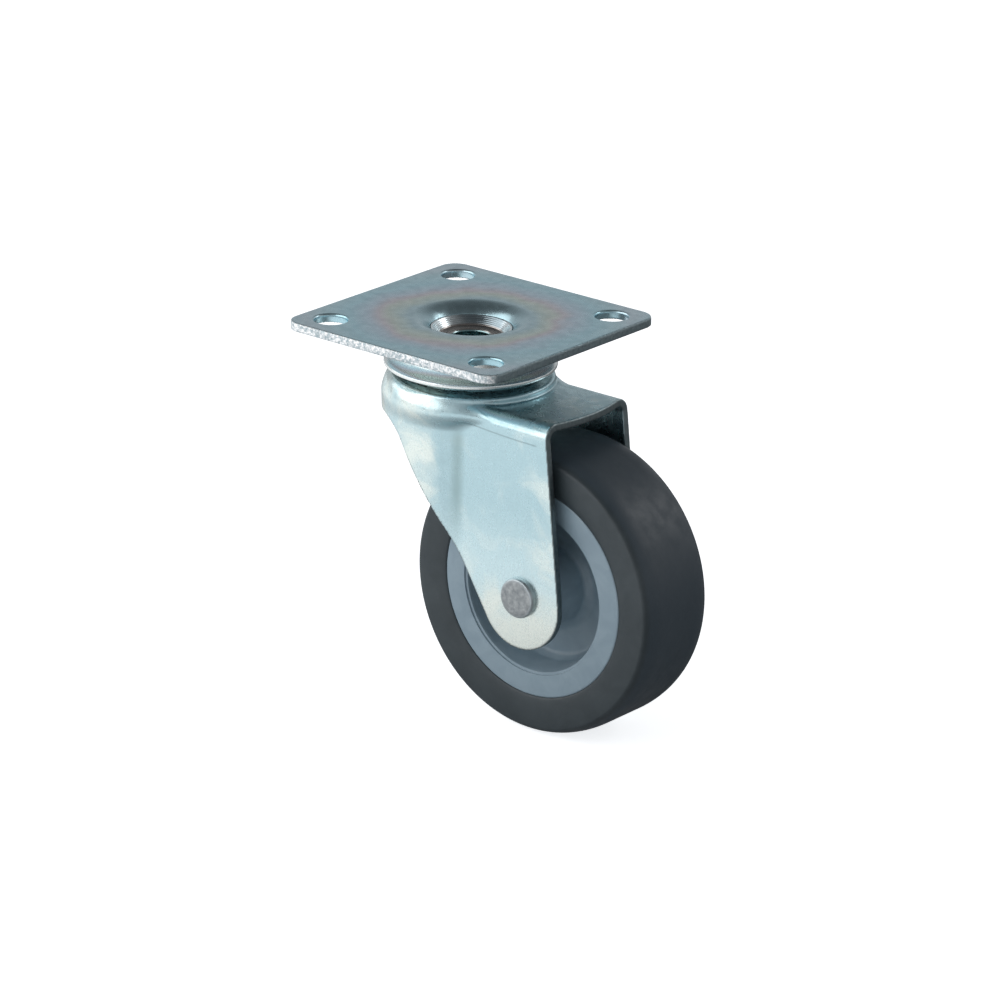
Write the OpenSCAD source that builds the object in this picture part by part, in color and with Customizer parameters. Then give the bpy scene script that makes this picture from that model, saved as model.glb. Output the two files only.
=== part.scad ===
// Top-plate swivel castor with a double ball-race head, a pressed sheet fork
// and a plain-bearing wheel with a soft tyre.
//
// Frame: the origin is on the swivel axis, at the top face of the plate.
// +Z is up, +X points from the swivel axis to the trailing wheel axle, and
// the axle lies along Y. All sizes are in millimetres.

/* [Top plate] */
// Side of the square plate
plate_w = 67; // [64:0.5:72]
// Sheet thickness of the plate
plate_t = 2.3; // [2.2:0.05:2.4]
// Corner radius of the plate
plate_corner_r = 4.8; // [1:0.2:6]
// Distance between bolt holes, along X and along Y
bolt_spacing = 50; // [48:0.5:52]
// Diameter of the bolt holes
bolt_hole_d = 8.5; // [6:0.1:9]

/* [Swivel head] */
// Diameter of each upper ball
upper_ball_d = 5; // [4.8:0.1:5]
// Number of balls in the upper race
upper_ball_count = 14; // [8:1:15]
// Diameter of each lower ball
lower_ball_d = 4; // [3.8:0.1:4]
// Number of balls in the lower race
lower_ball_count = 12; // [8:1:16]
// Radius of the raised race ring on the fork head
head_r = 22.4; // [22.2:0.1:22.8]
// Outer radius of the hollow kingpin's shank
kingpin_r = 9.1; // [9:0.05:9.2]
// Radius of the hole through the kingpin
kingpin_bore_r = 4.9; // [3:0.1:6]

/* [Fork] */
// Width over the outside of the two legs
fork_w = 33; // [32.5:0.5:34]
// Sheet thickness of the fork
fork_t = 2; // [1.9:0.05:2.1]
// Outer radius of the bend between crown and leg
bend_r = 4; // [3.5:0.5:6]
// Radius of the leg's round end
leg_end_r = 12.2; // [11:0.1:14]
// Distance from the swivel axis to the axle
trail = 30.5; // [29:0.5:32]

/* [Wheel] */
// Diameter over the tyre
wheel_d = 75; // [74:0.5:76]
// Width of the tyre
tyre_w = 25; // [23:0.5:25]
// Radius where the tyre meets the rim
rim_r = 27.4; // [26:0.1:29]
// Inner radius of the rim's face
rim_inner_r = 21; // [20.5:0.1:22.5]
// Outer radius of the hub
hub_r = 9.7; // [8.5:0.1:11]
// Shank diameter of the axle rivet
axle_d = 8; // [7:0.5:8]

/* [Hidden] */
overall_h = 100;
axle_z = wheel_d / 2 - overall_h;
smooth = 96;

// Upper race: the ball centre circle and the groove about it
ball_clearance = 0.3;
upper_pitch_r = 14.6;
upper_ball_z = -6.45;
upper_groove_r = 2.8;
cup_t = 1.35;

// Funnel pressed into the middle of the plate, down to a flat foot
funnel_r = 15.5;
funnel_roll_r = 6.3;
funnel_angle = 54;
funnel_foot_r = 11.6;
funnel_foot_z = -4.75;
funnel_lip_z = -4.45;
pin_hole_r = kingpin_r + 0.15;

// Upper race cup: it fits under the funnel with a small gap, then flares out
cup_gap = 0.05;
cup_foot_z = -6.15;
cup_lip_r = 21.9;
cup_flare_z = -7.4;

// Kingpin: the neck, the rolled-out cone and the dished middle
pin_neck_z = -4.4;
pin_cone_r = 10.25;
pin_cone_z = -2.62;
pin_dish_r = 8.05;
pin_dish_z = -4.6;
pin_bevel = 0.8;

// Fork head: heights of its sheet, and the dome that carries the balls
dome_r = 16.9;
dome_top_z = -8.2;
step_z = -14.2;
crown_z = -16.2;
head_round_r = 2.8;
step_fillet_r = 1.8;
head_skirt_z = -18;
head_skirt_end_z = -24;
head_skirt_taper = 2.6;
dome_foot_z = -9.4;
fork_hole_r = kingpin_r + 0.8;

// Lower race, under the dome
lower_pitch_r = dome_r - fork_t - lower_ball_d / 2 - ball_clearance;
lower_ball_z = -13.55;
lower_groove_r = lower_ball_d / 2 + ball_clearance;
race_bottom_z = -17.4;
race_top_z = -12.6;
race_top_r = 10.3;
race_r = 14.4;
pin_head_r = 13;
pin_head_t = 2.6;

// Fork: the round nose behind the swivel axis, and the legs
nose_x = -2.4;
nose_flare = 0.3;
nose_r = head_r + nose_x + nose_flare;
nose_bottom_z = -24;
nose_corner_x = -9;
nose_fillet_r = 10;
crown_front_x = 37.5;
crown_bulge = 1.7;
leg_top_front_z = -19.5;
leg_in_y = fork_w / 2 - fork_t;
leg_end_drop = 1.6;
leg_end_c = [trail, axle_z - leg_end_drop];

// Axle rivet: its flat round heads
rivet_head_r = 5.2;
rivet_head_t = 1.6;
rivet_edge = 0.7;

// Wheel: bearing fit, hub, web and rim
sleeve_r = 6;
bearing_gap = 0.05;
hub_half = leg_in_y - 0.4;
rim_half = 11.8;
rim_step = 0.45;
rim_ledge_w = 0.65;
rim_wall_in = 1;
web_half = 2.3;
web_fillet = 1.2;

// Tyre: nearly flat sides, and a shallow oval shoulder up to the tread
side_bulge_r = 31;
shoulder_foot_r = 35.3;
shoulder_w = 6;

UPPER_BALLS = [for (i = [1 : upper_ball_count]) str("upper_ball_", i)];
LOWER_BALLS = [for (i = [1 : lower_ball_count]) str("lower_ball_", i)];

// Points along an arc about [cx, cy], from angle a0 to a1, in n steps
function arc(cx, cy, r, a0, a1, n = 8) =
    [for (i = [0 : n]) let (a = a0 + (a1 - a0) * i / n) [cx + r * cos(a), cy + r * sin(a)]];

// Point where a line from p touches the circle about c; side is 1 or -1
function tangent_point(p, c, r, side) =
    let (d = c - p, l = norm(d), turn = side * asin(r / l), reach = sqrt(l * l - r * r),
         a = atan2(d[1], d[0]) + turn)
    p + reach * [cos(a), sin(a)];

// Turns a profile of (radius, height) points about the swivel axis
module lathe(points) {
    rotate_extrude($fn = smooth) polygon(points);
}

// Turns a profile of (radius, y) points about the wheel axle
module wheel_lathe(points) {
    translate([trail, 0, axle_z]) rotate([90, 0, 0]) lathe(points);
}

// Square sheet with four bolt holes and a funnel rolled down to the kingpin
module top_plate() {
    color("slategray")
    difference() {
        union() {
            difference() {
                translate([0, 0, -plate_t]) linear_extrude(plate_t) rounded_square(plate_w, plate_corner_r);
                translate([0, 0, -plate_t - 1]) cylinder(r = funnel_r, h = plate_t + 2, $fn = smooth);
            }
            lathe(concat(
                [[pin_hole_r, funnel_foot_z], [pin_hole_r, funnel_lip_z]],
                arc(funnel_r, -funnel_roll_r, funnel_roll_r, 90 + funnel_angle, 90),
                arc(funnel_r, -funnel_roll_r, funnel_roll_r - plate_t, 90, 90 + funnel_angle),
                [[funnel_foot_r, funnel_foot_z]]));
        }
        for (x = [-1, 1], y = [-1, 1])
            translate([x * bolt_spacing / 2, y * bolt_spacing / 2, -plate_t - 1])
                cylinder(d = bolt_hole_d, h = plate_t + 2, $fn = 48);
    }
}

module rounded_square(w, r) {
    inner = w / 2 - r;
    square([w, w - 2 * r], center = true);
    square([w - 2 * r, w], center = true);
    for (x = [-1, 1], y = [-1, 1]) translate([x * inner, y * inner]) circle(r, $fn = 48);
}

// Pressed bell under the plate: ball groove inside, flared lip outside
module upper_race_cup() {
    flare_r = cup_lip_r - upper_pitch_r - upper_groove_r - cup_t;
    top_z = funnel_foot_z - cup_gap;
    color("lightsteelblue")
    lathe(concat(
        [[pin_hole_r, cup_foot_z], [pin_hole_r, top_z], [funnel_foot_r, top_z]],
        arc(funnel_r, -funnel_roll_r, funnel_roll_r - plate_t - cup_gap, 90 + funnel_angle, 90),
        arc(upper_pitch_r, upper_ball_z, upper_groove_r + cup_t, 76, 0),
        arc(cup_lip_r, cup_flare_z, flare_r, 180, 270),
        arc(cup_lip_r, cup_flare_z, flare_r + cup_t, 270, 180),
        arc(upper_pitch_r, upper_ball_z, upper_groove_r, 0, 174, 16)));
}

// Hollow rivet: its top is rolled out into a bright cone, its foot is a flange
module kingpin() {
    foot_z = race_bottom_z - pin_head_t;
    color("gainsboro")
    lathe([
        [kingpin_bore_r, foot_z + pin_bevel],
        [kingpin_bore_r + pin_bevel, foot_z],
        [pin_head_r - pin_bevel, foot_z],
        [pin_head_r, foot_z + pin_bevel],
        [pin_head_r, race_bottom_z],
        [kingpin_r, race_bottom_z],
        [kingpin_r, pin_neck_z],
        [pin_cone_r, pin_cone_z],
        [pin_cone_r - 0.2, pin_cone_z],
        [pin_dish_r, pin_dish_z],
        [kingpin_bore_r, pin_dish_z]]);
}

// Turned ring that holds the lower balls up against the fork's dome
module lower_race() {
    color("silver")
    lathe(concat(
        [[pin_hole_r, race_bottom_z], [pin_hole_r, race_top_z], [race_top_r, race_top_z]],
        arc(lower_pitch_r, lower_ball_z, lower_groove_r, 190, 300),
        [[race_r, lower_ball_z - lower_groove_r + 0.3], [race_r, race_bottom_z]]));
}

module upper_ball(i) {
    ring_ball(upper_pitch_r, upper_ball_z, upper_ball_d, i / upper_ball_count);
}

module lower_ball(i) {
    ring_ball(lower_pitch_r, lower_ball_z, lower_ball_d, i / lower_ball_count);
}

module ring_ball(pitch_r, z, d, turn) {
    color("whitesmoke")
    rotate([0, 0, 360 * turn]) translate([pitch_r, 0, z]) sphere(d = d, $fn = 32);
}

// Pressed sheet: an outer form less the same form one sheet thickness smaller
module swivel_fork() {
    color("paleturquoise")
    difference() {
        union() {
            intersection() {
                difference() {
                    fork_form(0);
                    fork_form(fork_t);
                }
                fork_side_outline();
            }
            crown_tongue();
        }
        translate([0, 0, -30]) cylinder(r = fork_hole_r, h = 30, $fn = smooth);
        translate([trail, 0, axle_z]) rotate([90, 0, 0])
            cylinder(d = axle_d + 0.1, h = fork_w + 2, center = true, $fn = 64);
    }
}

// The fork's solid form, drawn in by t on every side
module fork_form(t) {
    head_form(t);
    translate([nose_x, 0, -90]) cylinder(r = nose_r - t, h = 90 + head_skirt_z - t / 2, $fn = smooth);
    leg_form(t);
}

// Ball dome, raised race ring and the start of the skirt, drawn in by t
module head_form(t) {
    lathe(concat(
        [[0, -30], [0, dome_top_z - t]],
        t == 0
            ? arc(upper_pitch_r, upper_ball_z, upper_groove_r, 219, 308)
            : [[12, dome_top_z - t], [lower_pitch_r - 0.2, lower_ball_z + lower_groove_r],
               [dome_r - t - 0.3, lower_ball_z + lower_groove_r]],
        [[dome_r - t, dome_foot_z - 1.3 * t]],
        arc(dome_r + step_fillet_r, step_z + step_fillet_r, step_fillet_r + t, 180, 270),
        arc(head_r - head_round_r, step_z - head_round_r, head_round_r - t, 90, 0),
        [[head_r - t, head_skirt_z - t / 4], [head_r - head_skirt_taper - t, head_skirt_end_z - t / 4],
         [head_r - head_skirt_taper - t, -30]]));
}

// Crown and both legs as one bar with rounded shoulders, drawn in by t
module leg_form(t) {
    half = fork_w / 2 - t;
    top = crown_z - t;
    r = bend_r - t;
    rotate([90, 0, 90]) linear_extrude(60)
        polygon(concat(
            [[-half, -90], [half, -90]],
            arc(half - r, top - r, r, 0, 90),
            arc(r - half, top - r, r, 90, 180)));
}

// Side outline: low nose skirt, slanting rear edge, round end and front edge
module fork_side_outline() {
    corner = [nose_corner_x, nose_bottom_z];
    rear = tangent_point(corner, leg_end_c, leg_end_r, -1);
    slope = atan2(corner[1] - rear[1], rear[0] - corner[0]);
    front = tangent_point([crown_front_x, leg_top_front_z], leg_end_c, leg_end_r, 1);
    rotate([90, 0, 0]) linear_extrude(60, center = true) {
        polygon(concat(
            [[-40, 0], [-40, nose_bottom_z]],
            arc(nose_corner_x - nose_fillet_r * tan(slope / 2), nose_bottom_z - nose_fillet_r,
                nose_fillet_r, 90, 90 - slope, 6),
            [rear, leg_end_c, front, [crown_front_x, leg_top_front_z], [crown_front_x, 0]]));
        translate(leg_end_c) circle(leg_end_r, $fn = smooth);
    }
}

// Shallow bulge of the crown's front edge
module crown_tongue() {
    half = fork_w / 2 - bend_r;
    r = (half * half + crown_bulge * crown_bulge) / (2 * crown_bulge);
    translate([0, 0, crown_z - fork_t]) linear_extrude(fork_t)
        intersection() {
            translate([crown_front_x + crown_bulge - r, 0]) circle(r, $fn = 360);
            translate([crown_front_x - 2, -half]) square([10, 2 * half]);
        }
}

// Solid rivet through both legs, with a flat peened head on each side
module axle_rivet() {
    y = fork_w / 2;
    color("rosybrown")
    wheel_lathe(concat(rivet_head(-y, -1), rivet_head(y, 1)));
}

// Profile of one rivet head on the leg face at y; side is -1 or 1
function rivet_head(y, side) =
    let (rim = [
        [0, rivet_head_t], [rivet_head_r - rivet_edge, rivet_head_t],
        [rivet_head_r - 0.2 * rivet_edge, rivet_head_t - 0.3 * rivet_edge],
        [rivet_head_r, rivet_head_t - rivet_edge], [rivet_head_r, 0], [axle_d / 2, 0]],
        last = len(rim) - 1)
    [for (i = [0 : last]) let (p = side < 0 ? rim[i] : rim[last - i]) [p[0], y + side * p[1]]];

// Spacer tube clamped between the legs, on which the hub turns
module axle_sleeve() {
    bore_r = axle_d / 2 + 0.05;
    color("lightgray")
    wheel_lathe([[bore_r, -leg_in_y], [sleeve_r, -leg_in_y], [sleeve_r, leg_in_y], [bore_r, leg_in_y]]);
}

// One half of the wheel centre's profile; side is 1 or -1
function centre_half(side) = [for (p = [
    [sleeve_r + bearing_gap, hub_half], [hub_r - 0.5, hub_half], [hub_r, hub_half - 0.5],
    [hub_r + 0.4, web_half + web_fillet], [hub_r + 0.4 + web_fillet, web_half],
    [rim_inner_r - rim_wall_in - web_fillet, web_half], [rim_inner_r - rim_wall_in, web_half + web_fillet],
    [rim_inner_r - 0.1, rim_half - 2 * rim_step], [rim_inner_r, rim_half - rim_step],
    [rim_inner_r + rim_ledge_w, rim_half - rim_step], [rim_inner_r + rim_ledge_w + 0.1, rim_half],
    [rim_r, rim_half]]) [p[0], side * p[1]]];

// Moulded centre: rim, thin web and long hub
module wheel_centre() {
    top = centre_half(1);
    bottom = centre_half(-1);
    color("lightslategray")
    wheel_lathe(concat(top, [for (i = [len(bottom) - 1 : -1 : 0]) bottom[i]]));
}

// One half of the tyre's profile, from the tread to the rim; side is 1 or -1
function tyre_half(side) =
    let (rise = wheel_d / 2 - shoulder_foot_r, half = tyre_w / 2)
    [for (p = concat(
        [for (a = [90 : -7.5 : 0])
            [shoulder_foot_r + rise * sin(a), half - shoulder_w + shoulder_w * cos(a)]],
        [[side_bulge_r, half - 0.1], [rim_r + 1, rim_half + 0.25], [rim_r, rim_half]]))
            [p[0], side * p[1]]];

// Soft tyre moulded onto the rim
module tyre() {
    upper = tyre_half(1);
    lower = tyre_half(-1);
    color("dimgray")
    wheel_lathe(concat([for (i = [len(lower) - 1 : -1 : 0]) lower[i]], upper));
}

top_plate();
upper_race_cup();
kingpin();
lower_race();
swivel_fork();
axle_rivet();
axle_sleeve();
wheel_centre();
tyre();
for (i = [1 : upper_ball_count]) upper_ball(i);
for (i = [1 : lower_ball_count]) lower_ball(i);
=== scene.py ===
import math

import bpy
import numpy as np
from mathutils import Matrix, Vector


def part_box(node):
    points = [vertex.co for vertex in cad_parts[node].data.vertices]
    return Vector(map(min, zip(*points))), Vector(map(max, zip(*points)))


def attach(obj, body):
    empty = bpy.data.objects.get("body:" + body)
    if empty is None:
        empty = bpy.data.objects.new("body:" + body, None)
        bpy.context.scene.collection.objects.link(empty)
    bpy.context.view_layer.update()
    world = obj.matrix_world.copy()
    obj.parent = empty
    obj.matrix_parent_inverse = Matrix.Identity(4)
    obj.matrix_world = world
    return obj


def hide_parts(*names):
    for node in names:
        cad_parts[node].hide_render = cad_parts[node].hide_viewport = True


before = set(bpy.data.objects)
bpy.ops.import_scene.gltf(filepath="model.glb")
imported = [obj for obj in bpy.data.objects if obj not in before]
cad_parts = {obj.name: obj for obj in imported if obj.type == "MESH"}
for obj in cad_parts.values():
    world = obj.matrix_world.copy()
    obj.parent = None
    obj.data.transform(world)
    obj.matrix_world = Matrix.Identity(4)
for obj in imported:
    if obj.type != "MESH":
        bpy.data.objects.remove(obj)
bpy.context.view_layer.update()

MM = 0.001


# ---------------------------------------------------------------- sizes from the frame
def box_mm(node):
    low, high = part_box(node)
    return np.array(low) / MM, np.array(high) / MM


PLATE_LOW, PLATE_HIGH = box_mm("top_plate")
FORK_LOW, FORK_HIGH = box_mm("swivel_fork")
TYRE_LOW, TYRE_HIGH = box_mm("tyre")
PLATE_HALF = PLATE_HIGH[0]
PLATE_T = 2.3
FORK_HALF = 16.5
AXLE_X = (TYRE_LOW[0] + TYRE_HIGH[0]) / 2
AXLE_Z = (TYRE_LOW[2] + TYRE_HIGH[2]) / 2
SKIN = 0.005  # keeps the visual surfaces just inside the CAD box
WHEEL_R = TYRE_HIGH[0] - AXLE_X - SKIN
TYRE_HALF = TYRE_HIGH[1]

SHEET_T = 2.0
CROWN_Z = -16.2
BEND_R = 4.0
PLATE_CORNER_R = 4.8
STEP_Z = -14.2
DOME_R = 16.9
DOME_Z = -8.2
BALL_RING_R = 14.6
BALL_RING_Z = -6.45
BALL_GROOVE_R = 2.8
FUNNEL_R = 15.5
FUNNEL_ROLL_R = 6.3
FUNNEL_CUT_DEG = 56.0
BOLT_HALF_SPACING = 25.0
BOLT_HOLE_R = 4.25

HEAD_R = 22.4
HEAD_TOP_Z = -14.4
HEAD_TOP_DROP = 1.8
HEAD_FLANK_DEPTH = 4.9
SKIRT_TOP_Z = -18.5
SKIRT_BOTTOM_Z = -24.0
RACE_RING_R = 21.5
FORK_HOLE_R = 9.9
AXLE_HOLE_R = 4.05
LEG_END_R = 12.2
LEG_END_DROP = 1.6
NOSE_CORNER_X = -9.0
CROWN_FRONT_X = 37.5
CROWN_BULGE = 1.7
LEG_TOP_FRONT_Z = -19.5

PIN_R = 9.1
PIN_BORE_R = 4.9
PIN_FOOT_R = 13.0
PIN_FOOT_Z = -20.0
PIN_HOLE_R = 9.25
RIVET_R = 4.0
RIVET_HEAD_R = 5.2
RIVET_HEAD_T = 1.6


# ---------------------------------------------------------------- mesh helpers
def make_object(name, points, faces, smooth=True):
    """A mesh object from points in millimetres."""
    mesh = bpy.data.meshes.new(name)
    mesh.from_pydata([tuple(p) for p in np.asarray(points) * MM], [], [tuple(f) for f in faces])
    mesh.validate()
    if smooth:
        mesh.shade_smooth()
    obj = bpy.data.objects.new(name, mesh)
    bpy.context.scene.collection.objects.link(obj)
    return obj


def sharpen(obj, degrees):
    """Marks edges sharper than an angle, so that smooth shading stops there."""
    obj.data.set_sharp_from_angle(angle=math.radians(degrees))


def rounded_profile(corners, step_deg=12):
    """Rounds each (r, h, radius) corner of a closed profile, and returns its points."""
    out = []
    count = len(corners)
    for i, (r, h, fillet) in enumerate(corners):
        here = np.array([r, h], float)
        before = np.array(corners[i - 1][:2], float) - here
        after = np.array(corners[(i + 1) % count][:2], float) - here
        len_a, len_b = np.linalg.norm(before), np.linalg.norm(after)
        before, after = before / len_a, after / len_b
        half = math.acos(np.clip(before @ after, -1, 1)) / 2
        if fillet <= 0 or half > math.radians(89):
            out.append(here)
            continue
        reach = min(fillet / math.tan(half), 0.49 * len_a, 0.49 * len_b)
        radius = reach * math.tan(half)
        centre = here + (before + after) / np.linalg.norm(before + after) * radius / math.sin(half)
        start = here + before * reach - centre
        turn = math.pi - 2 * half
        across = (after - before) * reach
        side = np.sign(start[0] * across[1] - start[1] * across[0])
        steps = max(2, int(math.degrees(turn) / step_deg) + 1)
        for k in range(steps + 1):
            a = side * turn * k / steps
            c, s = math.cos(a), math.sin(a)
            out.append(centre + np.array([c * start[0] - s * start[1], s * start[0] + c * start[1]]))
    return np.array(out)


def arc_points(cx, cy, radius, start_deg, end_deg, count=10):
    angles = np.radians(np.linspace(start_deg, end_deg, count + 1))
    return [(cx + radius * math.cos(a), cy + radius * math.sin(a)) for a in angles]


def lathe(name, profile, about_axle=False, turns=256):
    """Turns a closed (radius, height) profile about the swivel axis or the wheel axle."""
    profile = np.asarray(profile, float)
    count = len(profile)
    angle = np.linspace(0, 2 * math.pi, turns, endpoint=False)
    radius, height = profile[:, 0][None, :], profile[:, 1][None, :]
    flat_a, flat_b = radius * np.cos(angle)[:, None], radius * np.sin(angle)[:, None]
    level = np.broadcast_to(height, flat_a.shape)
    if about_axle:
        points = np.stack([flat_a + AXLE_X, level, flat_b + AXLE_Z], -1)
    else:
        points = np.stack([flat_a, flat_b, level], -1)
    index = np.arange(turns * count).reshape(turns, count)
    ahead_turn, ahead_point = np.roll(index, -1, 0), np.roll(index, -1, 1)
    faces = np.stack([index, ahead_turn, np.roll(ahead_turn, -1, 1), ahead_point], -1).reshape(-1, 4)
    area = sum(profile[i][0] * profile[(i + 1) % count][1] - profile[(i + 1) % count][0] * profile[i][1]
               for i in range(count))
    if (area > 0) == about_axle:
        faces = faces[:, ::-1]
    return make_object(name, points.reshape(-1, 3), faces)


def surface_of(name, field, low, high, step):
    """Meshes the zero surface of a signed distance field, with a vertex in each grid cell."""
    axes = [np.arange(a, b + step, step) for a, b in zip(low, high)]
    shape = [len(a) for a in axes]
    value = np.empty(shape)
    for i, x in enumerate(axes[0]):
        grid_y, grid_z = np.meshgrid(axes[1], axes[2], indexing="ij")
        value[i] = field(np.full(grid_y.shape, x), grid_y, grid_z)
    inside = value < 0
    cells = [n - 1 for n in shape]
    total = np.zeros(cells + [3])
    hits = np.zeros(cells)
    crossings = []
    for axis in range(3):
        low_cut = [slice(None)] * 3
        high_cut = [slice(None)] * 3
        low_cut[axis], high_cut[axis] = slice(0, -1), slice(1, None)
        a, b = value[tuple(low_cut)], value[tuple(high_cut)]
        crossed = inside[tuple(low_cut)] != inside[tuple(high_cut)]
        where = np.argwhere(crossed)
        share = (a[crossed] / (a[crossed] - b[crossed]))
        spot = where.astype(float)
        spot[:, axis] += share
        others = [k for k in range(3) if k != axis]
        for da in (0, 1):
            for db in (0, 1):
                cell = where.copy()
                cell[:, others[0]] -= da
                cell[:, others[1]] -= db
                np.add.at(total, tuple(cell.T), spot)
                np.add.at(hits, tuple(cell.T), 1)
        crossings.append((axis, others, where, inside[tuple(low_cut)][crossed]))
    used = hits > 0
    number = np.full(cells, -1)
    number[used] = np.arange(used.sum())
    points = total[used] / hits[used][:, None] * step + np.array([a[0] for a in axes])
    faces = []
    for axis, others, where, solid_first in crossings:
        ring = []
        for da, db in ((0, 0), (1, 0), (1, 1), (0, 1)):
            cell = where.copy()
            cell[:, others[0]] -= da
            cell[:, others[1]] -= db
            ring.append(number[tuple(cell.T)])
        quad = np.stack(ring, 1)
        flip = solid_first if axis == 1 else ~solid_first
        quad[flip] = quad[flip][:, ::-1]
        faces.append(quad)
    faces = np.concatenate(faces)
    points = settle(points, faces, field, step)
    return make_object(name, points, faces)


def settle(points, faces, field, step, rounds=4):
    """Evens out the mesh along the surface, and moves each vertex onto it."""
    ends = np.concatenate([faces[:, [0, 1]], faces[:, [1, 2]], faces[:, [2, 3]], faces[:, [3, 0]]])
    for _ in range(rounds):
        total = np.zeros_like(points)
        hits = np.zeros(len(points))
        np.add.at(total, ends[:, 0], points[ends[:, 1]])
        np.add.at(hits, ends[:, 0], 1)
        moved = total / hits[:, None] - points
        slope = gradient(field, points)
        moved -= (moved * slope).sum(1)[:, None] * slope
        points = points + 0.5 * moved
        for _ in range(2):
            slope = gradient(field, points, unit=False)
            size = np.maximum((slope * slope).sum(1), 0.2)
            shift = field(*points.T) / size
            points = points - np.clip(shift, -step, step)[:, None] * slope
    return points


def gradient(field, points, unit=True, reach=0.02):
    out = np.empty_like(points)
    for axis in range(3):
        ahead, behind = points.copy(), points.copy()
        ahead[:, axis] += reach
        behind[:, axis] -= reach
        out[:, axis] = (field(*ahead.T) - field(*behind.T)) / (2 * reach)
    if unit:
        out /= np.maximum(np.linalg.norm(out, axis=1), 1e-9)[:, None]
    return out


# ---------------------------------------------------------------- distance fields
def both(a, b, radius=0.0):
    """Intersection of two forms, with its outer edge rounded."""
    if np.isscalar(radius) and radius == 0:
        return np.maximum(a, b)
    edge = np.hypot(np.maximum(radius + a, 0), np.maximum(radius + b, 0))
    return np.minimum(-radius, np.maximum(a, b)) + edge


def either(a, b, radius=0.0):
    """Union of two forms, with its inner corner filled."""
    if np.isscalar(radius) and radius == 0:
        return np.minimum(a, b)
    corner = np.hypot(np.maximum(radius - a, 0), np.maximum(radius - b, 0))
    return np.maximum(radius, np.minimum(a, b)) - corner


def blend_forms(a, b, width):
    """Union of two forms with a soft crease between them."""
    h = np.maximum(width - np.abs(a - b), 0) / width
    return np.minimum(a, b) - h * h * width / 4


def ramp(value, start, end):
    t = np.clip((value - start) / (end - start), 0, 1)
    return t * t * (3 - 2 * t)


def plate_outline(x, y):
    """Distance outside a square with rounded corners, seen from above."""
    edge_x, edge_y = np.abs(x) - PLATE_HALF + PLATE_CORNER_R, np.abs(y) - PLATE_HALF + PLATE_CORNER_R
    outside = np.hypot(np.maximum(edge_x, 0), np.maximum(edge_y, 0))
    return outside + np.minimum(np.maximum(edge_x, edge_y), 0) - PLATE_CORNER_R


def plate_field(x, y, z):
    """Square sheet with rounded corners, four punched holes and a funnel rolled into its middle."""
    rho = np.hypot(x, y)
    slab = both(both(both(plate_outline(x, y), z + SKIN, 0.45), -z - PLATE_T, 0.2), FUNNEL_R - rho)
    from_roll = np.hypot(rho - FUNNEL_R, z + FUNNEL_ROLL_R)
    roll = np.abs(from_roll - FUNNEL_ROLL_R + PLATE_T / 2) - PLATE_T / 2
    roll = both(both(roll, rho - FUNNEL_R), -z - FUNNEL_ROLL_R)
    angle = math.radians(FUNNEL_CUT_DEG)
    foot = -(rho - FUNNEL_R) * math.cos(angle) - (z + FUNNEL_ROLL_R) * math.sin(angle)
    roll = both(roll, foot, 0.2)
    sheet = np.minimum(slab, roll)
    hole = np.hypot(np.abs(x) - BOLT_HALF_SPACING, np.abs(y) - BOLT_HALF_SPACING) - BOLT_HOLE_R
    sheet = both(sheet, -hole)
    lip = both(-hole, z + SKIN, 0.55)
    burr = both(-hole, -z - PLATE_T, 0.15)
    near_hole = hole < 2.0
    return np.where(near_hole, np.maximum(lip, burr), sheet)


def fork_outer(x, y, z):
    """Outer form of the pressed fork: crown and legs as one bent bar, a bowl behind, a ball dome on top."""
    rho = np.hypot(x, y)
    bar = both(both(np.abs(y) - FORK_HALF, z - CROWN_Z, BEND_R), 2.0 - x)
    drop = ramp(z, SKIRT_TOP_Z, SKIRT_BOTTOM_Z)
    bowl_top = HEAD_TOP_Z - HEAD_TOP_DROP * ramp(x, 9.0, 18.0)
    flank = np.clip((z - bowl_top + HEAD_FLANK_DEPTH) / 5.3, 0, 1.2)
    wall = np.hypot(x + 2.4 * drop, y) - HEAD_R + 2.0 * flank * flank + 2.0 * drop
    bowl = both(wall, z - bowl_top, 1.2)
    ring = both(rho - RACE_RING_R + 1.0 * ramp(x, 8.0, -4.0), z - STEP_Z, 0.8)
    ring = both(ring, CROWN_Z - 2.5 - z)
    dome = both(rho - DOME_R, z - DOME_Z, 0.5)
    groove = np.hypot(rho - BALL_RING_R, z - BALL_RING_Z) - BALL_GROOVE_R
    dome = both(dome, -groove, 0.3)
    at_side = ramp(np.abs(y), 11.0, 16.0)
    base = blend_forms(bowl, bar, 1.8 + 3.6 * at_side * ramp(z, -21.5, -17.5))
    head = either(base, ring, 0.5 + 1.2 * ramp(x, 4.0, -12.0))
    return either(head, dome, 1.8)


def leg_frame():
    """Centre and radius of the leg's round end, and the directions of its two straight edges."""
    centre, radius = np.array([AXLE_X, AXLE_Z - LEG_END_DROP]), LEG_END_R
    rear_start, front_start = (NOSE_CORNER_X, SKIRT_BOTTOM_Z), (CROWN_FRONT_X, LEG_TOP_FRONT_Z)
    lines = []
    for start, side in ((rear_start, -1), (front_start, 1)):
        to_centre = centre - np.array(start)
        length = np.linalg.norm(to_centre)
        angle = math.atan2(to_centre[1], to_centre[0]) + side * math.asin(radius / length)
        along = np.array([math.cos(angle), math.sin(angle)])
        outward = np.array([along[1], -along[0]]) * -side
        if (np.array(start) - centre) @ outward < 0:
            outward = -outward
        lines.append((along, outward))
    return centre, radius, lines


LEG_CENTRE, LEG_R, LEG_LINES = leg_frame()


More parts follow.
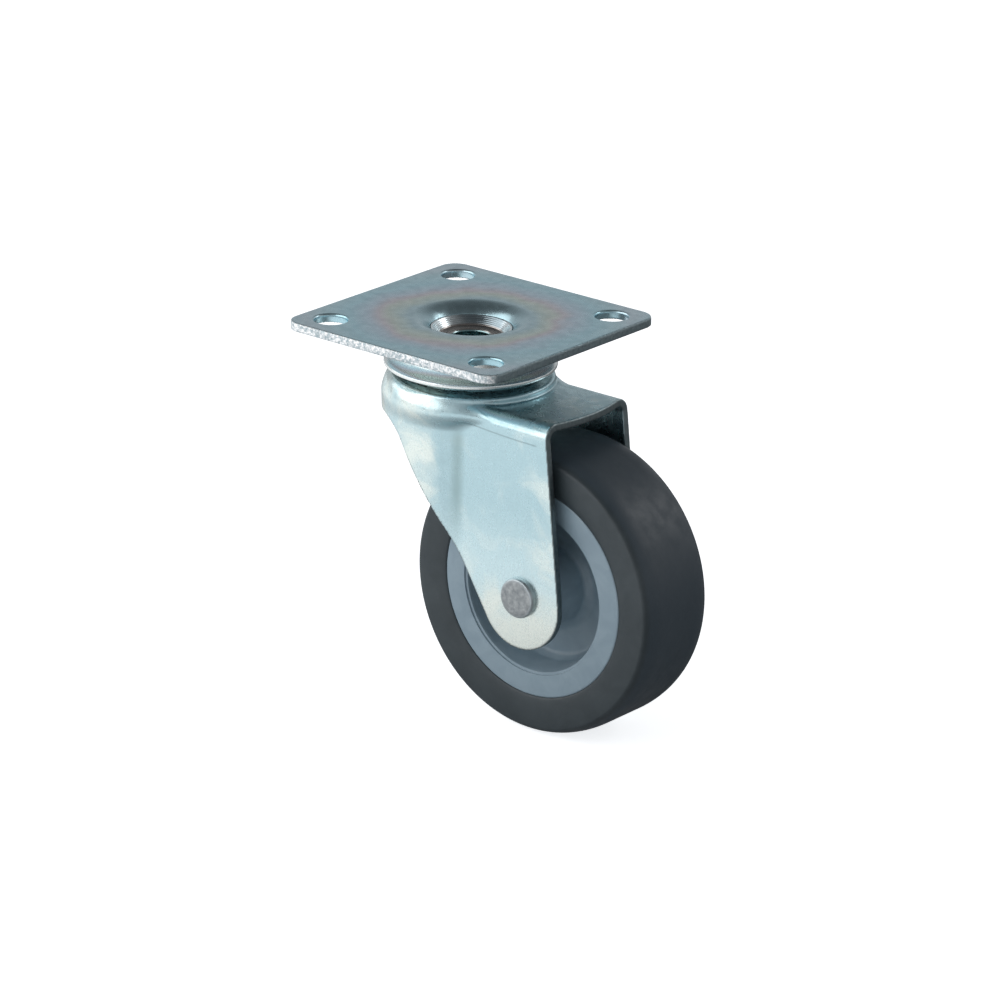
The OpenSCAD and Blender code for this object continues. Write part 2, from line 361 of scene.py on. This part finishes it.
def fork_outline(x, y, z):
    """Side view of the fork: low skirt behind, slanting rear edge, round end, front edge and crown tongue."""
    dx, dz = x - LEG_CENTRE[0], z - LEG_CENTRE[1]
    (rear_way, rear_out), (front_way, front_out) = LEG_LINES
    rear = dx * rear_out[0] + dz * rear_out[1] - LEG_R
    front = dx * front_out[0] + dz * front_out[1] - LEG_R
    below_rear = dx * rear_way[0] + dz * rear_way[1] > 0
    below_front = dx * front_way[0] + dz * front_way[1] > 0
    cap = np.hypot(dx, dz) - LEG_R
    rear = np.where(below_rear & below_front, cap, rear)
    keep = either(SKIRT_BOTTOM_Z - z, rear, 4.5)
    half = FORK_HALF - BEND_R
    bulge = CROWN_BULGE * (1 - np.clip(np.abs(y) / half, 0, 1) ** 2)
    crown_front = x - CROWN_FRONT_X - bulge
    return both(keep, np.minimum(front, crown_front), 0.5)


def fork_field(x, y, z):
    outer = fork_outer(x, y, z)
    sheet = np.abs(outer + SHEET_T / 2) - SHEET_T / 2
    sheet = both(sheet, fork_outline(x, y, z), 0.3)
    rho = np.hypot(x, y)
    head_hole = np.where(z > -30, rho - FORK_HOLE_R, 50.0)
    axle_hole = np.hypot(x - AXLE_X, z - AXLE_Z) - AXLE_HOLE_R
    sheet = both(sheet, -head_hole, 0.2)
    return both(sheet, -axle_hole)


# ---------------------------------------------------------------- pieces
def mark_cut_edges(obj, share):
    """Stores how far each vertex is on a sheared or punched edge, from 0 to 1."""
    layer = obj.data.attributes.new("cut_edge", "FLOAT", "POINT")
    layer.data.foreach_set("value", np.asarray(share, np.float32))


def points_mm(obj):
    flat = np.empty(len(obj.data.vertices) * 3, np.float32)
    obj.data.vertices.foreach_get("co", flat)
    return flat.reshape(-1, 3).astype(float) / MM


def build_plate():
    low = [-PLATE_HALF - 0.61, -PLATE_HALF - 0.61, -5.3]
    high = [PLATE_HALF + 0.6, PLATE_HALF + 0.6, 0.5]
    step = 0.33
    obj = surface_of("top_plate_sheet", plate_field, low, high, step)
    x, y, _ = points_mm(obj).T
    mark_cut_edges(obj, ramp(plate_outline(x, y), -0.35, -0.1))
    return obj


def build_fork():
    low = [FORK_LOW[0] - 0.71, FORK_LOW[1] - 0.71, FORK_LOW[2] - 0.71]
    high = [FORK_HIGH[0] + 0.7, FORK_HIGH[1] + 0.7, DOME_Z + 0.7]
    step = 0.36
    obj = surface_of("fork_pressing", fork_field, low, high, step)
    mark_cut_edges(obj, ramp(fork_outline(*points_mm(obj).T), -0.3, -0.08))
    return obj


def build_bell():
    """Upper race cup: ball groove inside, flared lip outside."""
    top_arc = arc_points(FUNNEL_R, -FUNNEL_ROLL_R, FUNNEL_ROLL_R - PLATE_T - 0.05, 144, 90)
    outer = arc_points(BALL_RING_R, BALL_RING_Z, 4.15, 76, 0, 12)
    flare = arc_points(21.9, -7.4, 3.15, 180, 258, 12)
    lip = [(21.4, -10.62), (21.75, -10.78), (21.9, -10.95), (21.92, -11.5), (21.85, -11.7), (21.6, -11.76)]
    inside = arc_points(21.9, -7.4, 4.5, 262, 180, 12)
    groove = arc_points(BALL_RING_R, BALL_RING_Z, BALL_GROOVE_R, 0, 174, 20)
    foot = [(PIN_HOLE_R, -6.15), (PIN_HOLE_R, -4.8), (11.6, -4.8)]
    profile = foot + top_arc + outer + flare + lip + inside + groove
    obj = lathe("upper_race_bell", profile)
    sharpen(obj, 40)
    return obj


def build_kingpin():
    """Hollow rivet, rolled out into the plate's funnel at the top, with a flange at its foot."""
    foot = [(PIN_BORE_R, PIN_FOOT_Z + 0.8, 0), (5.7, PIN_FOOT_Z, 0.2), (12.2, PIN_FOOT_Z, 0.3),
            (PIN_FOOT_R, PIN_FOOT_Z + 0.8, 0.3), (PIN_FOOT_R, -17.4, 0.2), (PIN_R, -17.4, 0)]
    cone = [(PIN_R, -4.4, 0), (10.3, -2.85, 0.2), (10.3, -2.42, 0.22), (9.8, -2.42, 0.3)]
    dish = [(8.05, -4.6, 0.2), (5.3, -4.65, 0.25), (PIN_BORE_R, -5.1, 0.2)]
    corners = foot + cone + dish
    obj = lathe("kingpin_rivet", rounded_profile(corners))
    sharpen(obj, 35)
    return obj


def build_rivet():
    """Axle rivet with flat peened heads."""
    face = FORK_HALF + RIVET_HEAD_T
    half = [(0.0, face - 0.06, 0), (2.0, face - 0.02, 0), (4.0, face, 1.2), (4.85, face - 0.12, 0.4),
            (5.18, face - 0.6, 0.3), (RIVET_HEAD_R, FORK_HALF, 0.1), (RIVET_R, FORK_HALF, 0)]
    other = [(r, -y, f) for r, y, f in reversed(half)]
    obj = lathe("axle_rivet_steel", rounded_profile(half + other), about_axle=True, turns=160)
    sharpen(obj, 40)
    return obj


def build_wheel_centre():
    """Moulded centre: rim with a stepped inner edge, thin web and long hub."""
    half = [(6.05, 14.1, 0), (9.0, 14.1, 0.4), (9.75, 13.4, 0.5), (10.2, 3.6, 1.2), (12.2, 2.3, 2.5),
            (18.6, 2.3, 1.6), (20.0, 3.9, 1.2), (20.85, 10.7, 0.3), (21.0, 11.25, 0.12), (21.62, 11.3, 0.06),
            (21.7, 11.75, 0.1), (27.1, 11.8, 0.12), (27.4, 11.65, 0.05)]
    other = [(r, -y, f) for r, y, f in reversed(half)]
    obj = lathe("wheel_centre_moulding", rounded_profile(half + other), about_axle=True)
    sharpen(obj, 40)
    return obj


def build_tyre():
    """Soft tyre: nearly flat sides, shallow oval shoulders and a flat tread."""
    rise, foot_r, width = 2.2, WHEEL_R - 2.2, 6.0
    half = [(foot_r + rise * math.sin(math.radians(a)), TYRE_HALF - width + width * math.cos(math.radians(a)))
            for a in np.linspace(90, 0, 19)]
    half += [(33.0, TYRE_HALF - 0.04), (31.0, TYRE_HALF - 0.12), (29.0, 12.18), (28.1, 12.0), (27.62, 11.86),
             (27.42, 11.6)]
    seam = [(WHEEL_R, 0.35), (WHEEL_R, 0.12)]
    upper = seam[::-1] + half
    profile = [(r, -y) for r, y in reversed(upper)] + upper
    obj = lathe("tyre_rubber", profile, about_axle=True)
    sharpen(obj, 40)
    return obj


# ---------------------------------------------------------------- materials
class Look:
    """A node material under construction. Sizes are in millimetres, read from object coordinates."""

    def __init__(self, name, metal, rough, **constants):
        self.mat = bpy.data.materials.new(name)
        self.mat.use_nodes = True
        self.tree = self.mat.node_tree
        self.shader = self.tree.nodes["Principled BSDF"]
        self.shader.inputs["Metallic"].default_value = metal
        self.shader.inputs["Roughness"].default_value = rough
        for socket, value in constants.items():
            self.shader.inputs[socket.replace("_", " ")].default_value = value
        coords = self.tree.nodes.new("ShaderNodeTexCoord").outputs["Object"]
        self.place = self.node("ShaderNodeVectorMath", "SCALE", Vector=coords, Scale=1 / MM).outputs[0]
        split = self.node("ShaderNodeSeparateXYZ", Vector=self.place)
        self.x, self.y, self.z = split.outputs

    def node(self, kind, operation=None, **inputs):
        made = self.tree.nodes.new(kind)
        if operation:
            made.operation = operation
        for socket, value in inputs.items():
            self.feed(made.inputs[socket], value)
        return made

    def feed(self, socket, value):
        if isinstance(value, bpy.types.NodeSocket):
            self.tree.links.new(value, socket)
        elif isinstance(value, tuple) and len(value) == 3 and socket.type == "RGBA":
            socket.default_value = (*value, 1)
        else:
            socket.default_value = value

    def maths(self, operation, a, b=0.0, c=0.0):
        made = self.tree.nodes.new("ShaderNodeMath")
        made.operation = operation
        for socket, value in zip(made.inputs, (a, b, c)):
            self.feed(socket, value)
        return made.outputs[0]

    def noise(self, size, detail=3.0, rough=0.55, scale=(1, 1, 1), warp=0.0):
        """Noise with features about size millimetres across, from 0 to 1."""
        made = self.tree.nodes.new("ShaderNodeTexNoise")
        stretched = self.tree.nodes.new("ShaderNodeVectorMath")
        stretched.operation = "MULTIPLY"
        self.feed(stretched.inputs[0], self.place)
        self.feed(stretched.inputs[1], scale)
        self.feed(made.inputs["Vector"], stretched.outputs[0])
        self.feed(made.inputs["Scale"], 1 / size)
        self.feed(made.inputs["Detail"], detail)
        self.feed(made.inputs["Roughness"], rough)
        self.feed(made.inputs["Distortion"], warp)
        return made.outputs["Fac"]

    def spread(self, value, low, high, to_low=0.0, to_high=1.0):
        """Maps low..high to to_low..to_high, smoothly and without going past either."""
        made = self.tree.nodes.new("ShaderNodeMapRange")
        made.interpolation_type = "SMOOTHSTEP"
        for socket, number in zip(("Value", "From Min", "From Max", "To Min", "To Max"),
                                  (value, low, high, to_low, to_high)):
            self.feed(made.inputs[socket], number)
        return made.outputs["Result"]

    def tint(self, share, a, b):
        """Colour between a and b."""
        made = self.tree.nodes.new("ShaderNodeMix")
        made.data_type = "RGBA"
        self.feed(made.inputs[0], share)
        self.feed(made.inputs[6], a)
        self.feed(made.inputs[7], b)
        return made.outputs[2]

    def ramp(self, share, stops):
        """Colour along a list of (place, colour) stops."""
        made = self.tree.nodes.new("ShaderNodeValToRGB")
        self.feed(made.inputs[0], share)
        band = made.color_ramp
        while len(band.elements) < len(stops):
            band.elements.new(0.5)
        for element, (at, colour) in zip(band.elements, stops):
            element.position = at
            element.color = (*colour, 1)
        return made.outputs[0]

    def radius(self, x=0.0, z=None):
        """Distance from the swivel axis, or from the wheel axle when z is given."""
        a = self.maths("SUBTRACT", self.x, x)
        b = self.y if z is None else self.maths("SUBTRACT", self.z, z)
        squares = self.maths("ADD", self.maths("MULTIPLY", a, a), self.maths("MULTIPLY", b, b))
        return self.maths("SQRT", squares)

    def cut_edge(self):
        """1 on a sheared or punched edge, as marked on the mesh."""
        made = self.tree.nodes.new("ShaderNodeAttribute")
        made.attribute_name = "cut_edge"
        return made.outputs["Fac"]

    def finish(self, colour=None, rough=None, bump=None, bump_mm=0.05, strength=1.0):
        if colour is not None:
            self.feed(self.shader.inputs["Base Color"], colour)
        if rough is not None:
            self.feed(self.shader.inputs["Roughness"], rough)
        if bump is not None:
            made = self.node("ShaderNodeBump", Height=bump, Distance=bump_mm * MM, Strength=strength)
            self.tree.links.new(made.outputs[0], self.shader.inputs["Normal"])
        return self.mat


def zinc_base(look, pale, warm, dark, warmth):
    """Blue-passivated zinc: pale and warm patches, a fine grain and a few tiny dark specks."""
    patch = look.noise(9.0, 3.0, 0.6, warp=0.6)
    share = look.maths("ADD", warmth, look.spread(patch, 0.35, 0.7, -0.25, 0.25))
    colour = look.tint(look.spread(share, 0.0, 1.0), pale, warm)
    grain = look.noise(0.4, 4.0, 0.7)
    colour = look.tint(look.spread(grain, 0.42, 0.75, 0.0, 0.30), colour, dark)
    speck = look.noise(0.35, 1.0, 0.5)
    return look.tint(look.spread(speck, 0.72, 0.80, 0.0, 0.55), colour, dark), grain


def emboss_line(look):
    """Height of the thin raised step across each leg, from the bowl's crease to the front edge."""
    along = look.maths("SUBTRACT", 34.5, look.x)
    sag = look.maths("MULTIPLY", look.maths("MULTIPLY", along, along), 0.0022)
    level = look.maths("SUBTRACT", look.z, look.maths("ADD", -21.7, sag))
    step = look.spread(level, -0.12, 0.12)
    line = look.spread(look.maths("ABSOLUTE", level), 0.0, 0.35, 1.0, 0.0)
    on_leg = look.spread(look.maths("ABSOLUTE", look.y), FORK_HALF - 0.5, FORK_HALF - 0.2)
    reach = look.maths("MULTIPLY", look.spread(look.x, 9.5, 13.0), look.spread(look.x, 35.0, 34.2))
    on = look.maths("MULTIPLY", on_leg, reach)
    return look.maths("MULTIPLY", step, on), look.maths("MULTIPLY", line, on)


def fork_look():
    """Blue-passivated zinc, paler and warmer down the legs (partly zinc tone, partly painted reflection),
    with painted shade down the crease where the bowl meets each leg.
    """
    look = Look("fork_blue_zinc", 1.0, 0.33)
    # Paler and warmer low on the legs, towards the crown's front and at the back. Low on the legs this is
    # partly zinc tone and partly a painted reflection of the bright floor.
    low = look.spread(look.z, -52.0, -76.0)
    forward = look.spread(look.x, 24.0, 40.0, 0.0, 0.3)
    back = look.spread(look.x, 9.0, 2.0, 0.0, 0.5)
    warmth = look.maths("ADD", look.maths("ADD", low, forward), back)
    # Paler further down the legs: partly zinc tone, partly a painted reflection of the bright floor.
    pale = look.tint(look.spread(look.z, -38.0, -60.0), (0.48, 0.655, 0.70), (0.66, 0.83, 0.86))
    colour, grain = zinc_base(look, pale, (0.90, 0.95, 0.88), (0.30, 0.42, 0.45), warmth)
    # Painted shade: a darker band down the concave crease near x = 10 mm, on each leg between crown and lower
    # leg.
    crease_shade = look.spread(look.maths("ABSOLUTE", look.maths("SUBTRACT", look.x, 10.0)), 0.0, 2.6, 1.0, 0.0)
    below = look.maths("MULTIPLY", look.spread(look.z, -21.0, -26.0), look.spread(look.z, -58.0, -38.0))
    crease_shade = look.maths("MULTIPLY", look.maths("MULTIPLY", crease_shade, below), 0.7)
    colour = look.tint(crease_shade, colour, (0.30, 0.42, 0.43))
    step, line = emboss_line(look)
    colour = look.tint(look.maths("MULTIPLY", line, 0.6), colour, (0.28, 0.38, 0.40))
    cut = look.cut_edge()
    streak = look.noise(0.5, 3.0, 0.6, scale=(1, 1, 0.4))
    colour = look.tint(cut, colour, look.tint(streak, (0.10, 0.13, 0.14), (0.34, 0.40, 0.41)))
    smear = look.noise(2.2, 3.0, 0.6, scale=(1.0, 1.0, 0.5))
    rough = look.spread(smear, 0.3, 0.75, 0.24, 0.36)
    rough = look.maths("ADD", rough, look.maths("MULTIPLY", cut, 0.15))
    height = look.maths("ADD", look.maths("MULTIPLY", grain, 0.4), look.noise(3.0, 2.0, 0.5))
    height = look.maths("ADD", height, look.maths("MULTIPLY", step, 2.0))
    return look.finish(colour, rough, height, 0.06, 0.35)


def plate_look():
    """Blue-passivated zinc with faint rainbow rings, and grainy sheared edges painted lit on three sides and
    painted shaded at the front (+x).
    """
    look = Look("plate_blue_zinc", 1.0, 0.3)
    wander = look.spread(look.noise(16.0, 2.0, 0.5, warp=0.4), 0.2, 0.8, -2.0, 2.0)
    ring = look.maths("DIVIDE", look.maths("ADD", look.radius(), wander), 50.0)
    film = look.ramp(ring, [
        (0.00, (0.42, 0.60, 0.66)), (0.31, (0.42, 0.58, 0.63)), (0.36, (0.50, 0.62, 0.60)),
        (0.40, (0.56, 0.63, 0.58)), (0.445, (0.58, 0.56, 0.60)), (0.50, (0.50, 0.62, 0.71)),
        (0.60, (0.42, 0.66, 0.74)), (0.72, (0.48, 0.68, 0.74)), (0.82, (0.54, 0.66, 0.72)),
        (1.00, (0.44, 0.66, 0.72))])
    grain = look.noise(0.6, 4.0, 0.7)
    film = look.tint(look.spread(grain, 0.45, 0.8, 0.0, 0.25), film, (0.25, 0.34, 0.38))
    cut = look.cut_edge()
    streak = look.noise(0.45, 4.0, 0.7, scale=(1, 1, 0.35))
    # Painted light on the sheared edges: the +x edge gets a darker colour as painted shade, the other three a
    # brighter grain that runs to white, a painted highlight over the real grain.
    front = look.spread(look.x, PLATE_HALF - 0.9, PLATE_HALF - 0.3)
    crystal = look.spread(look.noise(0.9, 4.0, 0.75), 0.38, 0.62)
    bright = look.tint(crystal, (0.42, 0.50, 0.53), (1.0, 1.0, 1.0))
    shaded_front_edge = look.tint(streak, (0.10, 0.14, 0.16), (0.42, 0.50, 0.52))
    colour = look.tint(cut, film, look.tint(front, bright, shaded_front_edge))
    rough = look.spread(look.noise(2.5, 3.0, 0.6), 0.3, 0.75, 0.24, 0.36)
    rough = look.maths("ADD", rough, look.maths("MULTIPLY", cut, 0.2))
    height = look.tint(cut, look.noise(1.8, 3.0, 0.5), look.maths("MULTIPLY", crystal, 3.0))
    return look.finish(colour, rough, height, 0.05, 0.5)


def bell_look():
    look = Look("bell_bright_zinc", 1.0, 0.3)
    level = look.spread(look.z, -11.0, -4.0, 0.0, 0.5)
    colour, grain = zinc_base(look, (0.84, 0.88, 0.87), (0.82, 0.83, 0.77), (0.45, 0.52, 0.54), level)
    lines = look.noise(0.5, 2.0, 0.5, scale=(0.1, 0.1, 1))
    return look.finish(colour, look.spread(grain, 0.3, 0.8, 0.2, 0.36), lines, 0.03, 0.5)


def pin_look():
    """Turned steel: bright cone with fine lathe lines and painted shade on one side of it, brownish middle,
    bore painted dark as shade.
    """
    look = Look("pin_turned_steel", 1.0, 0.2)
    radius = look.radius()
    middle = look.spread(radius, 8.5, 8.1)
    bore = look.spread(radius, 5.3, 4.9)
    stain = look.tint(look.noise(1.6, 3.0, 0.6), (0.36, 0.31, 0.29), (0.55, 0.53, 0.50))
    turned = look.noise(0.35, 2.0, 0.6, scale=(0.05, 0.05, 1))
    # Painted shade: one side of the cone (+y, towards -x) gets a darker copy of the turned colour, dimming
    # its reflection there.
    shade = look.maths("MULTIPLY", look.spread(look.y, 3.0, 7.0), look.spread(look.x, 5.0, 2.0))
    pale = look.tint(turned, (0.60, 0.70, 0.74), (0.95, 1.0, 1.0))
    painted_shade_tone = look.tint(turned, (0.20, 0.26, 0.29), (0.42, 0.50, 0.54))
    colour = look.tint(middle, look.tint(shade, pale, painted_shade_tone), stain)
    # Painted shade: the bore's wall is coloured dark teal for the shade inside the hole.
    colour = look.tint(bore, colour, (0.30, 0.46, 0.48))
    groove = look.maths("SINE", look.maths("MULTIPLY", look.maths("ADD", radius, look.z), 9.0))
    rough = look.spread(look.noise(1.2, 3.0, 0.6), 0.3, 0.8, 0.16, 0.32)
    return look.finish(colour, rough, groove, 0.02, 0.5)


def rivet_look():
    look = Look("rivet_grey_zinc", 1.0, 0.4)
    blot = look.noise(1.4, 4.0, 0.65)
    greys = [(0.25, (0.20, 0.22, 0.23)), (0.5, (0.33, 0.35, 0.36)), (0.75, (0.53, 0.55, 0.55))]
    colour = look.ramp(blot, greys)
    # Painted highlight: the rounded edge of each rivet head is coloured lighter all round.
    rim = look.spread(look.radius(AXLE_X, AXLE_Z), 4.2, 5.0)
    colour = look.tint(rim, colour, (0.45, 0.50, 0.52))
    rough = look.spread(look.noise(0.7, 3.0, 0.6), 0.3, 0.8, 0.3, 0.5)
    return look.finish(colour, rough, blot, 0.12, 0.6)


def race_look(name, colour, rough):
    look = Look(name, 1.0, rough)
    cloud = look.noise(2.5, 3.0, 0.6)
    dark = tuple(c * 0.6 for c in colour)
    mixed = look.tint(look.spread(cloud, 0.3, 0.8), colour, dark)
    smear = look.spread(cloud, 0.2, 0.8, rough, rough + 0.12)
    return look.finish(mixed, smear, look.noise(0.5, 3.0, 0.6), 0.02, 0.4)


def ball_look():
    look = Look("ball_polished_steel", 1.0, 0.12)
    film = look.noise(1.2, 3.0, 0.6)
    return look.finish(look.tint(film, (0.66, 0.66, 0.66), (0.42, 0.40, 0.34)),
                       look.spread(film, 0.3, 0.8, 0.08, 0.25), film, 0.01, 0.3)


def centre_look():
    """Moulded plastic with a satin rim face, and a faint flow pattern."""
    look = Look("centre_blue_grey_plastic", 0.0, 0.35, IOR=1.5)
    flow = look.noise(6.0, 3.0, 0.6, warp=0.8)
    colour = look.tint(look.spread(flow, 0.3, 0.75), (0.24, 0.325, 0.385), (0.285, 0.375, 0.435))
    fine = look.noise(0.35, 3.0, 0.6)
    rough = look.spread(look.noise(3.0, 3.0, 0.6), 0.3, 0.75, 0.28, 0.4)
    height = look.maths("ADD", look.maths("MULTIPLY", flow, 1.0), look.maths("MULTIPLY", fine, 0.25))
    return look.finish(colour, rough, height, 0.04, 0.3)


def tyre_look():
    """Thermoplastic rubber: satin, with a fine moulded grain and light scuffs on the tread."""
    look = Look("tyre_anthracite_rubber", 0.0, 0.5, IOR=1.5)
    cloud = look.noise(8.0, 4.0, 0.6, warp=0.5)
    colour = look.tint(look.spread(cloud, 0.3, 0.75), (0.030, 0.042, 0.049), (0.041, 0.055, 0.063))
    scuff = look.noise(3.0, 4.0, 0.7, scale=(1, 3, 1))
    colour = look.tint(look.spread(scuff, 0.62, 0.8, 0.0, 0.3), colour, (0.085, 0.095, 0.10))
    tread = look.spread(look.radius(AXLE_X, AXLE_Z), 36.2, 37.0)
    colour = look.tint(look.maths("MULTIPLY", tread, 0.6), colour, (0.054, 0.077, 0.100))
    rough = look.spread(look.noise(4.0, 3.0, 0.6), 0.3, 0.75, 0.42, 0.56)
    height = look.maths("ADD", look.noise(0.3, 3.0, 0.7), look.maths("MULTIPLY", cloud, 1.5))
    return look.finish(colour, rough, height, 0.04, 0.35)


def dress(obj, mat):
    obj.data.materials.clear()
    obj.data.materials.append(mat)


def place(obj, body, node, mat):
    """A new piece rides on its body and stands for its CAD node."""
    dress(obj, mat)
    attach(obj, body)
    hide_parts(node)


# ---------------------------------------------------------------- camera, floor and light
# Places and distances in metres. The camera is turned towards its aim, then slid aside and down.
CAMERA_AIM = (0, 0, -0.03)
CAMERA_AZIMUTH_DEG = 38.55
CAMERA_ELEVATION_DEG = 20.05
CAMERA_ROLL_DEG = 1.32
CAMERA_DISTANCE = 1.341
CAMERA_ASIDE = 0.007747
CAMERA_LOWERED = 0.017564
SENSOR_MM = 36
LENS_MM = 191.304

FLOOR_GLOW = 0.55
FLOOR_SEEN = 0.8
SKY = ((0.0, 0.50), (0.28, 0.54), (0.70, 0.15), (1.0, 0.10))
KEY_WAY = (-0.60, -0.64, 0.47)
KEY_DISTANCE = 1.5
KEY_SIZE = (2.6, 1.3)
KEY_WATTS = 15.5
FILL_PLACE = (0.69, 1.10, 0.75)
FILL_SIZE = (0.6, 0.6)
FILL_WATTS = 2.5


def add_camera():
    azimuth = math.radians(CAMERA_AZIMUTH_DEG)
    elevation = math.radians(CAMERA_ELEVATION_DEG)
    roll = math.radians(CAMERA_ROLL_DEG)
    back = Vector((math.sin(azimuth) * math.cos(elevation), -math.cos(azimuth) * math.cos(elevation),
                   math.sin(elevation)))
    right = Vector((math.cos(azimuth), math.sin(azimuth), 0))
    up = back.cross(right)
    right, up = (right * math.cos(roll) + up * math.sin(roll), up * math.cos(roll) - right * math.sin(roll))
    data = bpy.data.cameras.new("camera")
    data.sensor_width = SENSOR_MM
    data.lens = LENS_MM
    data.clip_start, data.clip_end = 0.1, 60
    cam = bpy.data.objects.new("camera", data)
    bpy.context.scene.collection.objects.link(cam)
    basis = Matrix((right, up, back)).transposed().to_4x4()
    centre = Vector(CAMERA_AIM) + back * CAMERA_DISTANCE
    basis.translation = centre + right * CAMERA_ASIDE - up * CAMERA_LOWERED
    cam.matrix_world = basis
    bpy.context.scene.camera = cam


def floor_look():
    """Pale table: even white to the camera, but bright to dark in what it lights and in reflections."""
    look = Look("floor_pale", 0.0, 0.8)
    side = look.maths("ADD", look.maths("MULTIPLY", look.x, 0.55), look.maths("MULTIPLY", look.y, 0.83))
    glow = look.spread(side, -150.0, 60.0, FLOOR_GLOW, 0.05)
    straight = look.tree.nodes.new("ShaderNodeLightPath").outputs["Is Camera Ray"]
    strength = look.maths("MULTIPLY_ADD", straight, look.maths("SUBTRACT", FLOOR_SEEN, glow), glow)
    look.shader.inputs["Emission Color"].default_value = (0.96, 0.98, 1.0, 1)
    look.feed(look.shader.inputs["Emission Strength"], strength)
    colour = look.tint(look.spread(side, -150.0, 80.0), (0.85, 0.86, 0.87), (0.20, 0.21, 0.22))
    return look.finish(look.tint(straight, colour, (0.93, 0.93, 0.93)))


def add_floor():
    reach = 3000
    points = [(-reach, -reach, -100), (reach, -reach, -100), (reach, reach, -100), (-reach, reach, -100)]
    floor = make_object("floor", points, [(0, 1, 2, 3)], smooth=False)
    dress(floor, floor_look())


def add_light(name, place_at, size, power, look_at=(0.01, 0, -0.05)):
    data = bpy.data.lights.new(name, "AREA")
    data.shape = "RECTANGLE"
    data.size, data.size_y = size
    data.energy = power
    light = bpy.data.objects.new(name, data)
    bpy.context.scene.collection.objects.link(light)
    light.location = place_at
    light.rotation_mode = "QUATERNION"
    light.rotation_quaternion = (Vector(look_at) - Vector(place_at)).to_track_quat("-Z", "Y")


def add_world():
    """Studio walls that are mid grey at the horizon and dark overhead; white where the camera looks past."""
    world = bpy.data.worlds.new("studio")
    bpy.context.scene.world = world
    world.use_nodes = True
    tree = world.node_tree
    coords = tree.nodes.new("ShaderNodeTexCoord").outputs["Generated"]
    split = tree.nodes.new("ShaderNodeSeparateXYZ")
    tree.links.new(coords, split.inputs[0])
    walls = tree.nodes.new("ShaderNodeValToRGB")
    tree.links.new(split.outputs["Z"], walls.inputs[0])
    band = walls.color_ramp
    while len(band.elements) < len(SKY):
        band.elements.new(0.5)
    for element, (at, grey) in zip(band.elements, SKY):
        element.position = at
        element.color = (grey * 0.98, grey, grey * 1.03, 1)
    straight = tree.nodes.new("ShaderNodeLightPath").outputs["Is Camera Ray"]
    mix = tree.nodes.new("ShaderNodeMix")
    mix.data_type = "RGBA"
    tree.links.new(straight, mix.inputs[0])
    tree.links.new(walls.outputs[0], mix.inputs[6])
    mix.inputs[7].default_value = (1, 1, 1, 1)
    background = tree.nodes["Background"]
    tree.links.new(mix.outputs[2], background.inputs["Color"])
    background.inputs["Strength"].default_value = 1.0


bpy.context.scene.view_settings.view_transform = "Standard"
add_camera()
add_floor()
add_world()
add_light("key", tuple(KEY_DISTANCE * part for part in KEY_WAY), KEY_SIZE, KEY_WATTS)
add_light("fill", FILL_PLACE, FILL_SIZE, FILL_WATTS)

place(build_plate(), "plate", "top_plate", plate_look())
place(build_bell(), "plate", "upper_race_cup", bell_look())
place(build_kingpin(), "plate", "kingpin", pin_look())
place(build_fork(), "fork", "swivel_fork", fork_look())
place(build_rivet(), "fork", "axle_rivet", rivet_look())
place(build_wheel_centre(), "wheel", "wheel_centre", centre_look())
place(build_tyre(), "wheel", "tyre", tyre_look())
dress(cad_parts["lower_race"], race_look("lower_race_zinc", (0.55, 0.60, 0.60), 0.3))
dress(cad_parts["axle_sleeve"], race_look("sleeve_drawn_steel", (0.45, 0.45, 0.46), 0.35))
BALLS = ball_look()
for node_name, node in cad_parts.items():
    if "_ball_" in node_name:
        dress(node, BALLS)
